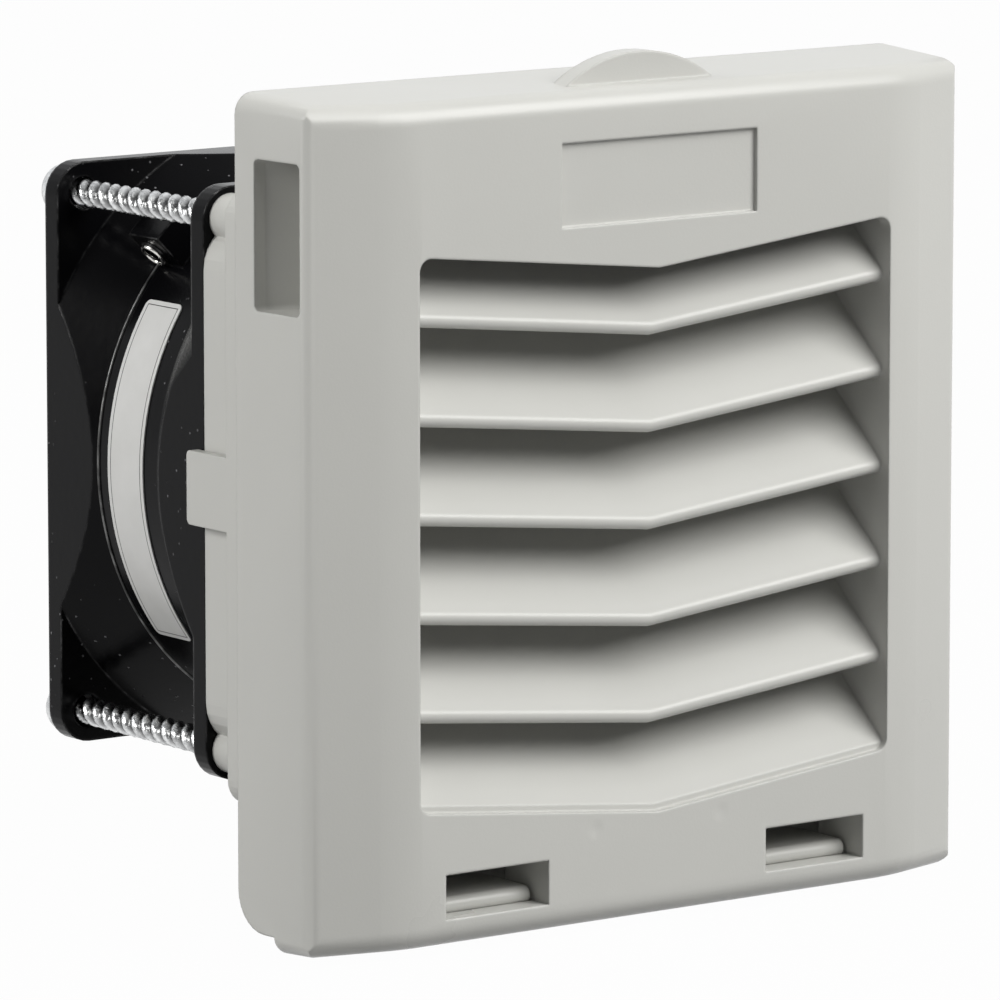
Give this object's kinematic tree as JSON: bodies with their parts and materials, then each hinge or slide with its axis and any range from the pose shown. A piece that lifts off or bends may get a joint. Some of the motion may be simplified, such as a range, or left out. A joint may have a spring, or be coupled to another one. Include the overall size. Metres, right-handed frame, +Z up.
{
  "type": "cabinet filter fan",
  "caption": "Panel-mounted filter fan with a tilting chevron-louvre cover, filter mat, stepped duct base and a square-framed axial fan held by long screws.",
  "frame": {"origin": "on the fan's axis, in the outer face of the panel that holds the part, at the middle of its square cut-out", "axes": "+Y into the cabinet along the fan's axis, +Z up, +X to the right seen from the front"},
  "size_m": [0.109, 0.0876, 0.1148],
  "materials": {
    "cover_plastic": "fine satin",
    "base_plastic": "fine satin",
    "foam": "closed-cell foam",
    "mat_fibre": "loose white fibre",
    "black_paint": "semi-gloss black paint on die-cast metal",
    "zinc_steel": "bright zinc plating",
    "strip_film": "blank white film",
    "terminal_plastic": "satin",
    "tab_brass": "tinned",
    "tube_brass": "machined",
    "bearing_steel": "ground",
    "core_steel": "stacked sheet",
    "coil_copper": "enamelled wire",
    "impeller_plastic": "satin",
    "cup_steel": "drawn",
    "cage_aluminium": "cast",
    "washer_plastic": "satin"
  },
  "bodies": {
    "housing": {"base_frame": "base_plastic", "panel_gasket": "foam", "filter_mat": "mat_fibre", "filter_grille": "base_plastic", "fan_frame": "black_paint", "fan_screws": "zinc_steel", "rating_strip": "strip_film", "terminal_block": "terminal_plastic", "terminal_tabs": "tab_brass", "bearing_tube": "tube_brass", "front_bearing": "bearing_steel", "rear_bearing": "bearing_steel", "stator_core": "core_steel", "stator_coils": "coil_copper"},
    "cover": {"louvre_cover": "cover_plastic"},
    "rotor": {"impeller": "impeller_plastic", "rotor_cup": "cup_steel", "cage_ring": "cage_aluminium", "shaft": "bearing_steel", "thrust_washer": "washer_plastic", "retaining_clip": "bearing_steel"}
  },
  "joints": [
    {"name": "cover_tilt", "type": "hinge", "parent": "housing", "child": "cover", "pos_m": [0, -0.0145, -0.05055], "axis": [1, 0, 0], "range_deg": [0, 60]},
    {"name": "impeller_spin", "type": "hinge", "parent": "housing", "child": "rotor", "pos_m": [0, 0.047, 0], "axis": [0, 1, 0], "continuous": true}
  ]
}
